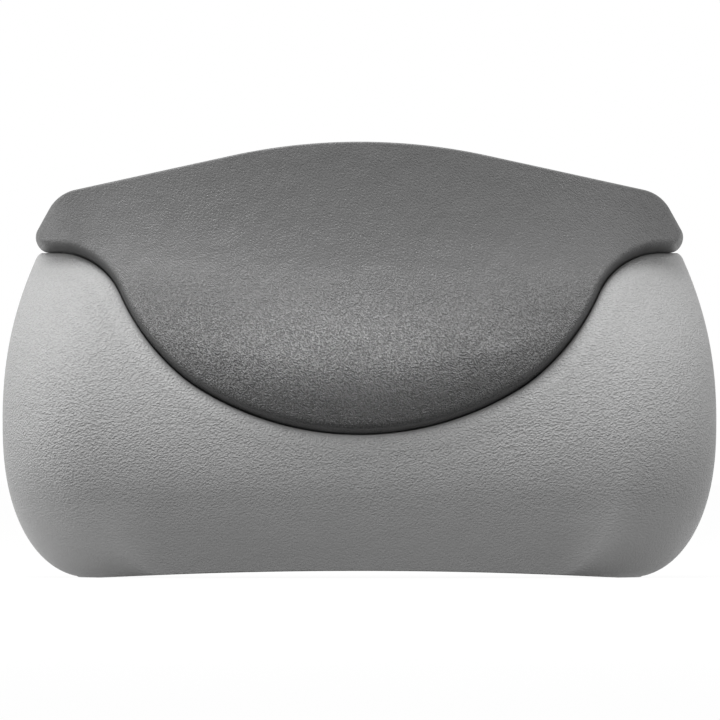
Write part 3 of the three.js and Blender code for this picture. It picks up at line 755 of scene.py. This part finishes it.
def head_mesh():
    """The head cushion before anything is cut from it: border rings, a filled face and a flat back."""
    side_right, top_right = tip_and_top()
    top_edge = mirrored(top_right[::-1]) + top_right[-2::-1]
    left = mirrored(side_right)[::-1]
    outline = seam + side_right[1:] + top_edge[-2::-1] + left[-2:0:-1]
    borders = [border_at(point) for point in outline]

    def inset(point, distance):
        return point[0] - point[2] * distance, point[1] - point[3] * distance

    back_steps, wall_steps = 4, 7
    rings = []
    for i in range(back_steps + 1):
        turn = math.pi / 2 * i / back_steps
        rings.append([place(*inset(p, head_back_round * (1 - math.sin(turn))),
                            head_back_round * (1 - math.cos(turn))) for p in outline])
    for i in range(1, wall_steps + 1):
        ring = []
        for (x, h, _, _), (_, drop) in zip(outline, borders):
            low, high = head_back_round, face_depth(x, h) - drop
            ring.append(place(x, h, low + (high - low) * i / wall_steps))
        rings.append(ring)
    for i in range(1, border_steps + 1):
        turn = math.pi / 2 * i / border_steps
        ring = []
        for point, (width, drop) in zip(outline, borders):
            x, h = inset(point, width * (1 - math.cos(turn)))
            ring.append(place(x, h, face_depth(x, h) - drop * (1 - math.sin(turn))))
        rings.append(ring)
    faces = []
    band(faces, rings, True)
    cap(faces, rings[0])
    # The face is filled between its four edges, each set in by the width of the border.
    low, high, west, east = [np.array([inset(point, border_at(point)[0]) for point in edge])
                             for edge in (seam, top_edge, left, side_right)]
    u = np.linspace(0, 1, len(low))[None, :, None]
    v = np.linspace(0, 1, len(east))[:, None, None]
    grid = ((1 - v) * low[None] + v * high[None] + (1 - u) * west[:, None] + u * east[:, None]
            - (1 - u) * (1 - v) * low[0] - u * (1 - v) * low[-1]
            - (1 - u) * v * high[0] - u * v * high[-1])
    grid[:, 0], grid[:, -1], grid[0], grid[-1] = west, east, low, high
    rows = [[place(x, h, face_depth(x, h)) for x, h in row] for row in spread_evenly(grid).tolist()]
    band(faces, rows)
    return solid_piece("head_cushion_skin", faces)


def core_mesh():
    """The part of the roll that stays behind the tongue, which is taken from the head cushion."""
    rows = []
    levels, corner_steps = 60, 16
    for i in range(levels + 1):
        h = -cut_past + (shoulder_height + fit_gap + cut_past) * i / levels
        reach, depth = half_width(max(h, 0)) + tip_radius, roll_depth(h) - tongue_thickness
        row = [(reach, -cut_past)]
        for side, start in ((1, 0), (-1, math.pi / 2)):
            for k in range(corner_steps + 1):
                turn = start + math.pi / 2 * k / corner_steps
                row.append((side * (reach - core_end_radius) + core_end_radius * math.cos(turn),
                            depth - core_end_radius + core_end_radius * math.sin(turn)))
        row.append((-reach, -cut_past))
        rows.append([place(x, h, f) for x, f in row])
    return closed_stack("core", rows)


head = head_mesh()
cut(head, core_mesh())
cut(head, plate_room())
cut(head, carrier_room(half=0.086, bottom=0.125, top=0.144))
mark_seam(head, [border_at(point)[0] for point in seam])
soften(head)
# The dark skin: a painted highlight on the lip, and painted shade at the ends, on the border along the seam
# and in the crease.
dark_skin = foam_skin("dark foam skin", 109, 48, size=0.00044, stretch=1.1, waviness=0.8, lean=0.45,
                      relief=0.00150, contrast=0.20, lip_painted_highlight=((-0.012, 0.080), (0.085, 0.021), 0.38),
                      ends_painted_shade=0.12, foot_painted_shade_and_light=0.0,
                      deep=((0.060, 0.100, 2.1, 1.0), (0.088, 0.120, 1.0, 0.14)),
                      smooth_rim=(0.35, 0.75), rim_painted_span=(0.2, 0.9), rim_painted_fade=(0, 1, 0.0, 0.0),
                      crease_painted_shade=(0.03, 0.20), gloss=0.36)
head.data.materials.append(dark_skin)
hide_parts("head_cushion")
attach(head, "root")

# Carriers: two flat nylon strips moulded into the backs of the cushions, so that screws can hold the
# soft foam. Their bosses take threaded brass inserts. Both are hidden once the plate is on.


def moulded_plastic():
    """The spark-eroded texture of a plastic moulding, with shallow sink marks and fine scuffs."""
    tree, given, out = new_group("moulded plastic", {"Size": 0.0006, "Scuffs": 0.5}, ("Height", "Tone"))
    where = surface_place(tree)[0]
    scaled = vector_node(tree, "SCALE", where, math_node(tree, "DIVIDE", 1.0, given["Size"]))
    pitted = noise_node(tree, scaled, 1.0, 3.0, 0.6)
    sink = noise_node(tree, where, 35, 1.0)
    stretched = tree.nodes.new("ShaderNodeMapping")
    stretched.inputs["Rotation"].default_value = (0.3, 0.5, 0.7)
    stretched.inputs["Scale"].default_value = (900, 60, 900)
    tree.links.new(where, stretched.inputs["Vector"])
    scratch = noise_node(tree, stretched.outputs["Vector"], 1.0, 1.0)
    scuff = math_node(tree, "MULTIPLY", ramp_node(tree, scratch, 0.68, 0.74), given["Scuffs"])
    height = math_node(tree, "MULTIPLY_ADD", sink, 0.6, math_node(tree, "MULTIPLY", pitted, 0.4))
    tree.links.new(math_node(tree, "MULTIPLY_ADD", scuff, -0.1, height), out["Height"])
    tree.links.new(math_node(tree, "MULTIPLY_ADD", pitted, 0.5, scuff, clamp=True), out["Tone"])
    return tree


plastic_group = moulded_plastic()


def plastic(name, level, scuffed_level, rough, relief):
    material, tree, shader = new_material(name, IOR=1.49, Specular_IOR_Level=0.45)
    texture = placed_group(tree, plastic_group, Size=0.0005, Scuffs=0.6)
    cloud = noise_node(tree, surface_place(tree)[0], 22, 4.0, 0.6)
    base_colour = colour_mix(tree, ramp_node(tree, cloud, 0.35, 0.7, 0.0, 0.4), grey(level),
                             grey(level * 0.94))
    tree.links.new(colour_mix(tree, math_node(tree, "MULTIPLY", texture["Tone"], 0.25),
                              base_colour, grey(scuffed_level)), shader.inputs["Base Color"])
    tree.links.new(math_node(tree, "MULTIPLY_ADD", texture["Tone"], 0.14, rough),
                   shader.inputs["Roughness"])
    add_bump(tree, shader, texture["Height"], relief)
    return material


def dress(name, material):
    """Gives a piece that comes as it is from the CAD model its own material."""
    kept_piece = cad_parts[name]
    kept_piece.data.materials.clear()
    kept_piece.data.materials.append(material)


carrier_nylon = plastic("carrier nylon", 62, 88, 0.50, 0.00012)
for name in ("head_carrier", "base_carrier"):
    dress(name, carrier_nylon)

# Threaded inserts: turned brass bushes with an M4 thread, pressed hot into the carriers' bosses. They
# stay out of sight, and only a screw's tip reaches them.


def turned_metal():
    """Fine turning marks on a metal part, with a faint dull bloom."""
    tree, given, out = new_group("turned metal", {"Pitch": 0.00012, "Bloom": 0.5}, ("Height", "Tone"))
    where, _, back, _ = surface_place(tree)
    marks = tree.nodes.new("ShaderNodeTexNoise")
    marks.noise_dimensions = "1D"
    marks.inputs["Scale"].default_value = 1
    marks.inputs["Detail"].default_value = 2
    tree.links.new(math_node(tree, "DIVIDE", back, given["Pitch"]), marks.inputs["W"])
    bloom = noise_node(tree, where, 260, 3.0, 0.6)
    tree.links.new(marks.outputs["Fac"], out["Height"])
    tree.links.new(math_node(tree, "MULTIPLY", ramp_node(tree, bloom, 0.4, 0.7), given["Bloom"]),
                   out["Tone"])
    return tree


metal_group = turned_metal()
turning_relief = 0.00002


def metal(name, bright, dull, rough):
    material, tree, shader = new_material(name, Metallic=1.0)
    texture = placed_group(tree, metal_group, Pitch=0.00012, Bloom=0.25)
    tree.links.new(colour_mix(tree, texture["Tone"], bright, dull), shader.inputs["Base Color"])
    tree.links.new(math_node(tree, "MULTIPLY_ADD", texture["Tone"], 0.25, rough),
                   shader.inputs["Roughness"])
    add_bump(tree, shader, texture["Height"], turning_relief)
    return material


insert_brass = metal("insert brass", (0.60, 0.41, 0.14), (0.36, 0.24, 0.09), 0.30)
for number in range(1, 9):
    dress(f"threaded_insert_{number}", insert_brass)

# Back plate: one flat polypropylene moulding, flush with the foam. It ties both cushions together, and
# is pierced for eight screws, four cup sockets and two drain slots.
plate_edge = 0.0005
cup_hole = 0.0045
screw_hole = 0.0023
slot_middle = 0.030
slot_height = 0.020
slot_half = 0.0105
slot_end = 0.0015
cup_places = {"upper_left": (-0.050, 0.134), "upper_right": (0.050, 0.134),
              "lower_left": (-0.082, 0.044), "lower_right": (0.082, 0.044)}
screw_places = [(-0.046, 0.034), (-0.046, 0.098), (0.046, 0.034), (0.046, 0.098),
                (-0.022, 0.134), (-0.078, 0.134), (0.022, 0.134), (0.078, 0.134)]
# The countersink's cutter, from behind the plate inwards: radius and depth.
countersink = [(0.0043, -cut_past), (0.0043, 0.0002), (screw_hole, 0.0024), (0.0020, 0.0026)]


def circle(centre, radius, steps=48):
    return [(centre[0] + radius * math.cos(2 * math.pi * i / steps),
             centre[1] + radius * math.sin(2 * math.pi * i / steps)) for i in range(steps)]


def ring(centre, radius, depth, steps=48):
    return at_depth(circle(centre, radius, steps), depth)


def turned(profile, centre, steps, closed_ends=False):
    """Faces of a turned piece. Each point of the profile is a radius and a depth."""
    faces = []
    band(faces, [ring(centre, radius, depth, steps) for radius, depth in profile], True)
    if closed_ends:
        for radius, depth in (profile[0], profile[-1]):
            cap(faces, ring(centre, radius, depth, steps))
    return faces


def moved_in(outline, distance, hole):
    """A closed outline set in from its edge, or out from it where it bounds a hole."""
    found = []
    for i, (x, h) in enumerate(outline):
        before, after = outline[i - 1], outline[(i + 1) % len(outline)]
        along = Vector((after[0] - before[0], after[1] - before[1])).normalized()
        sign = -1 if hole else 1
        found.append((x - along.y * distance * sign, h + along.x * distance * sign))
    return found


def pierced_plate(name, outline, holes):
    """A flat plate with softened edges, pierced by holes that are softened as well."""
    depths = ((0.0, plate_edge), (plate_edge * 0.3, plate_edge * 0.3), (plate_edge, 0.0),
              (plate_thickness - plate_edge, 0.0), (plate_thickness, plate_edge))
    faces = []
    flats = {0: [], 4: []}
    for edge, hole in [(outline, False)] + [(found, True) for found in holes]:
        rows = [at_depth(moved_in(edge, step, hole), depth) for depth, step in depths]
        band(faces, rows, True)
        for side in flats:
            flats[side].append(rows[side])
    for loops in flats.values():
        points = [point for loop in loops for point in loop]
        for corners in tessellate_polygon([[Vector(point) for point in loop] for loop in loops]):
            faces.append([points[i] for i in corners])
    return solid_piece(name, faces)


def slot_outline(middle):
    """One drain slot: two half circles joined by straight edges."""
    outline = []
    for side, start in ((1, -90), (-1, 90)):
        outline += [(middle + side * slot_half + slot_end * math.cos(t * degree),
                     slot_height + slot_end * math.sin(t * degree)) for t in range(start, start + 181, 15)]
    return outline


plate = pierced_plate("back_plate_moulding", plate_outline(0, 12),
                      [circle(at, cup_hole) for at in cup_places.values()]
                      + [circle(at, screw_hole) for at in screw_places]
                      + [slot_outline(-slot_middle), slot_outline(slot_middle)])
for at in screw_places:
    cut(plate, solid_piece("countersink", turned(countersink, at, 48, True)))
soften(plate, 20)
plate_plastic = plastic("plate plastic", 190, 205, 0.42, 0.00016)
plate.data.materials.append(plate_plastic)
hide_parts("back_plate")
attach(plate, "root")

# Plate screws: eight stainless M4 countersunk screws with a hexagon socket, 12 mm long, driven from the
# back into the brass inserts.
socket_flat = 0.00125
screw_length = 0.0120
screw_tip = 0.0017
thread_from, thread_to = 0.0040, 0.0115
thread_crest, thread_root = 0.00195, 0.00165
thread_pitch, thread_flank = 0.0007, 0.0003
screw_steel = metal("screw steel", (0.58, 0.58, 0.57), (0.38, 0.38, 0.37), 0.22)


def screw_mesh(name, at):
    """A screw with its socket, head and ringed thread."""
    steps = 48
    hexagon = []
    for i in range(steps):
        turn = i * 360 / steps
        reach = socket_flat / math.cos((turn - 60 * round(turn / 60)) * degree)
        hexagon.append((at[0] + reach * math.cos(turn * degree), at[1] + reach * math.sin(turn * degree)))
    # From the socket's floor, up its six sides, over the head's flat and down the cone to the shank.
    rows = [ring(at, 0.0008, 0.0017, steps)]
    rows += [at_depth(hexagon, 0.0015), at_depth(hexagon, 0.0003)]
    rows += [ring(at, radius, depth, steps) for radius, depth in (
        (0.00178, 0.0002), (0.0037, 0.0002), (0.0039, 0.00025), (0.0040, 0.0004), (0.0020, 0.0024))]
    faces = []
    band(faces, rows, True)
    thread = [(0.0020, 0.0024)]
    depth = thread_from
    while depth < thread_to:
        thread += [(thread_crest, depth), (thread_root, depth + thread_flank),
                   (thread_crest, depth + 2 * thread_flank)]
        depth += thread_pitch
    faces += turned(thread + [(screw_tip, screw_length)], at, steps)
    cap(faces, rows[0])
    cap(faces, ring(at, screw_tip, screw_length, steps))
    return solid_piece(name, faces)


for number, at in enumerate(screw_places, 1):
    screw = screw_mesh(f"plate_screw_{number}_turned", at)
    soften(screw, 30)
    screw.data.materials.append(screw_steel)
    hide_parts(f"plate_screw_{number}")
    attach(screw, "root")

# Suction cups: four soft clear vinyl cups, each snapped through the plate by its knob and free to turn.
# The thin lip seals on the bath, and a tab on its edge lets it go.
cup_radius = 0.019
cup_stand = 0.010
cup_wall = 0.0024
cup_flange = 0.009
cup_core = 0.0005
cup_knob = 0.0065
cup_neck = 0.0042
knob_length = 0.0028
lip_round = 0.0003
lip_wall = 0.0015
tab_round = 0.0003
tab_length, tab_half, tab_thick = 0.0066, 0.0045, 0.0016
tab_end = 0.0028
tab_overlap = 0.0006


def cup_mesh(name, at):
    """Knob, neck, flange, bell and lip in one turned profile, from the knob's end to the hollow."""
    steps, bell_steps = 96, 22
    outside = -fit_gap
    knob = plate_thickness + fit_gap
    rise = cup_stand - fit_gap - cup_wall / 2 - 0.0009
    hollow = cup_stand - fit_gap - cup_wall
    profile = [(cup_core, knob + knob_length), (0.0048, knob + knob_length), (0.0053, knob + 0.0026),
               (0.0063, knob + 0.0016), (cup_knob, knob + 0.0012), (cup_knob, knob + 0.0002),
               (0.0063, knob), (0.0044, knob), (cup_neck, knob - 0.0002), (cup_neck, outside),
               (0.0088, outside), (cup_flange, outside - 0.0002), (cup_flange, outside - cup_wall / 2)]
    turns = [math.pi / 2 * i / bell_steps for i in range(1, bell_steps + 1)]
    profile += [(cup_flange + (cup_radius - cup_flange) * math.sin(turn),
                 outside - cup_wall / 2 - rise * (1 - math.cos(turn))) for turn in turns]
    profile += [(cup_radius, -cup_stand + lip_round), (cup_radius - lip_round, -cup_stand)]
    profile += [((cup_radius - lip_wall) * math.sin(turn),
                 outside - cup_wall - hollow * (1 - math.cos(turn)) ** 1.3) for turn in reversed(turns)]
    profile.append((cup_core, outside - cup_wall))
    return solid_piece(name, turned(profile, at, steps, True))


def tab_mesh(name, at):
    """The release tab: a small tongue with a squarish end, which grows from the lip and points down."""
    top = at[1] - cup_radius + tab_overlap

    def squarish(value):
        return math.copysign(abs(value) ** 0.6, value)

    turns = [math.pi + math.pi * i / 24 for i in range(25)]
    outline = [(at[0] + tab_half * squarish(math.cos(turn)),
                top - tab_length + tab_end + tab_end * squarish(math.sin(turn))) for turn in turns]
    outline += [(at[0] + tab_half, top), (at[0] - tab_half, top)]
    rear = -cup_stand + tab_round
    return closed_stack(name, [at_depth(moved_in(outline, step, False), depth) for depth, step in (
        (rear, tab_round), (rear + tab_round, 0), (rear + tab_thick - tab_round, 0),
        (rear + tab_thick, tab_round))])


cup_vinyl, tree, shader = new_material("cup vinyl", IOR=1.52, Transmission_Weight=0.55,
                                       Specular_IOR_Level=0.5)
texture = placed_group(tree, plastic_group, Size=0.0009, Scuffs=0.4)
haze = noise_node(tree, surface_place(tree)[0], 60)
tree.links.new(colour_mix(tree, ramp_node(tree, haze, 0.3, 0.7), grey(226), (0.68, 0.71, 0.72)),
               shader.inputs["Base Color"])
tree.links.new(ramp_node(tree, haze, 0.3, 0.7, 0.16, 0.30), shader.inputs["Roughness"])
add_bump(tree, shader, texture["Height"], 0.00008)
for corner, at in cup_places.items():
    cup = cup_mesh(f"cup_{corner}_bell", at)
    soften(cup, 30)
    cup.data.materials.append(cup_vinyl)
    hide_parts(f"suction_cup_{corner}")
    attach(cup, f"cup_{corner}")
    tab = tab_mesh(f"cup_{corner}_tab", at)
    soften(tab, 40)
    tab.data.materials.append(cup_vinyl)
    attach(tab, f"cup_{corner}")

# Studio: a plain white floor that keeps a faint shadow, two wide soft lights above and in front, one at
# each side with a third behind on the left, and a distant camera at the height of the pillow's middle.
floor_half, floor_drop = 6, -0.0002
floor_mesh = bpy.data.meshes.new("studio_floor")
floor_mesh.from_pydata([(x, y, floor_drop) for x, y in (
    (-floor_half, -floor_half), (floor_half, -floor_half), (floor_half, floor_half),
    (-floor_half, floor_half))], [], [(0, 1, 2, 3)])
studio_floor = put_in_scene("studio_floor", floor_mesh)


def shown_or_lighting(tree, shown, lighting):
    """One surface where it is looked at, directly, in gloss or through the cups, and one as a light."""
    seen = tree.nodes.new("ShaderNodeLightPath").outputs
    looked_at = math_node(tree, "MAXIMUM", seen["Is Camera Ray"], math_node(
        tree, "MAXIMUM", seen["Is Glossy Ray"], seen["Is Transmission Ray"]))
    mixed = tree.nodes.new("ShaderNodeMixShader")
    for i, source in enumerate((looked_at, lighting.outputs[0], shown.outputs[0])):
        tree.links.new(source, mixed.inputs[i])
    return mixed.outputs[0]


def even_shader(tree, kind, **values):
    node = tree.nodes.new(kind)
    for socket, value in values.items():
        node.inputs[socket].default_value = value
    return node


floor_white = bpy.data.materials.new("floor white")
floor_white.use_nodes = True
tree = floor_white.node_tree
tree.nodes.clear()
paper = even_shader(tree, "ShaderNodeBsdfDiffuse", Color=(0.06, 0.06, 0.06, 1))
bounce = even_shader(tree, "ShaderNodeBsdfDiffuse", Color=(0.12, 0.12, 0.12, 1))
glow = even_shader(tree, "ShaderNodeEmission", Strength=0.95)
both = tree.nodes.new("ShaderNodeAddShader")
tree.links.new(paper.outputs[0], both.inputs[0])
tree.links.new(glow.outputs[0], both.inputs[1])
tree.links.new(shown_or_lighting(tree, both, bounce),
               tree.nodes.new("ShaderNodeOutputMaterial").inputs["Surface"])
floor_mesh.materials.append(floor_white)

# The room: an even pale light, and plain white where it is looked at.
room = bpy.data.worlds.new("studio")
bpy.context.scene.world = room
room.use_nodes = True
tree = room.node_tree
tree.nodes.clear()
dome = even_shader(tree, "ShaderNodeBackground", Color=(1, 1, 1, 1), Strength=0.60)
white = even_shader(tree, "ShaderNodeBackground", Color=(1, 1, 1, 1))
tree.links.new(shown_or_lighting(tree, white, dome),
               tree.nodes.new("ShaderNodeOutputWorld").inputs["Surface"])

# The lamps: where each stands, its width and its watts, fitted to the tones of the photograph. All are
# aimed at the pillow's middle.
pillow_middle = Vector((0, 0, 0.08))
for name, at, size, watts in (("front softbox", (-0.282, -1.053, 1.636), 1.2, 26),
                              ("top softbox", (-0.127, -0.475, 1.915), 1.2, 7),
                              ("left softbox", (-1.858, -0.395, 0.080), 0.8, 18),
                              ("left edge softbox", (-1.872, 0.329, 0.080), 0.8, 10),
                              ("right softbox", (1.858, -0.395, 0.080), 0.8, 11)):
    lamp = bpy.data.lights.new(name, "AREA")
    lamp.shape = "DISK"
    lamp.size = size
    lamp.energy = watts
    holder = put_in_scene(name, lamp)
    holder.location = at
    holder.rotation_euler = (pillow_middle - Vector(at)).to_track_quat("-Z", "Y").to_euler()

# The photograph is 272.2 mm wide where the pillow is widest, just behind its middle.
camera_distance = 8.0
camera_height = 0.0820
camera_aside = 0.0002
photo_width = 0.2722
widest_behind = 0.015
camera = bpy.data.cameras.new("camera")
camera.sensor_width = 36
camera.clip_end = 50
camera.lens = camera.sensor_width * (camera_distance + widest_behind) / photo_width
camera_holder = put_in_scene("camera", camera)
camera_holder.location = (camera_aside, -camera_distance, camera_height)
camera_holder.rotation_euler = (90 * degree, 0, 0)
bpy.context.scene.camera = camera_holder
bpy.context.scene.view_settings.view_transform = "Standard"
